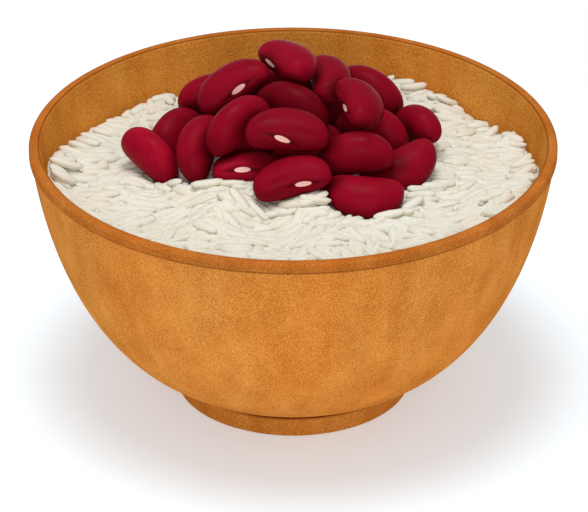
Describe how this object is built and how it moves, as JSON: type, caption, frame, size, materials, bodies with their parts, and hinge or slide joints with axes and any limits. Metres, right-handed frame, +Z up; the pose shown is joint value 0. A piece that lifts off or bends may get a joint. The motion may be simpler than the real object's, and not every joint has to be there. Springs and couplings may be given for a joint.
{
  "type": "red beans and rice",
  "caption": "Cooked red kidney beans heaped on white rice in a round turned wooden bowl with a plain lip and a small foot; it stands on a flat base.",
  "frame": {"origin": "on the surface that the bowl stands on, under the bowl's middle", "axes": "+Z up along the bowl's axis, -Y towards the front of the dish, +X to its right"},
  "size_m": [0.13, 0.13, 0.0863],
  "materials": {
    "bowl_wood": "satin oiled wood, honey brown",
    "cooked_rice": "moist, soft sheen, off-white",
    "bean_skin": "smooth cooked skin, satin, dark red, with a pale eye"
  },
  "bodies": {
    "root": {"bowl": "bowl_wood", "rice": "cooked_rice", "bean_01": "bean_skin", "bean_02": "bean_skin", "bean_03": "bean_skin", "bean_04": "bean_skin", "bean_05": "bean_skin", "bean_06": "bean_skin", "bean_07": "bean_skin", "bean_08": "bean_skin", "bean_09": "bean_skin", "bean_10": "bean_skin", "bean_11": "bean_skin", "bean_12": "bean_skin", "bean_13": "bean_skin", "bean_14": "bean_skin", "bean_15": "bean_skin", "bean_16": "bean_skin", "bean_17": "bean_skin", "bean_18": "bean_skin", "bean_19": "bean_skin", "bean_20": "bean_skin", "bean_21": "bean_skin", "bean_22": "bean_skin", "bean_23": "bean_skin", "bean_24": "bean_skin", "bean_25": "bean_skin", "bean_26": "bean_skin", "bean_27": "bean_skin", "bean_28": "bean_skin", "bean_29": "bean_skin", "bean_30": "bean_skin", "bean_31": "bean_skin", "bean_32": "bean_skin", "bean_33": "bean_skin", "bean_34": "bean_skin"}
  },
  "joints": []
}
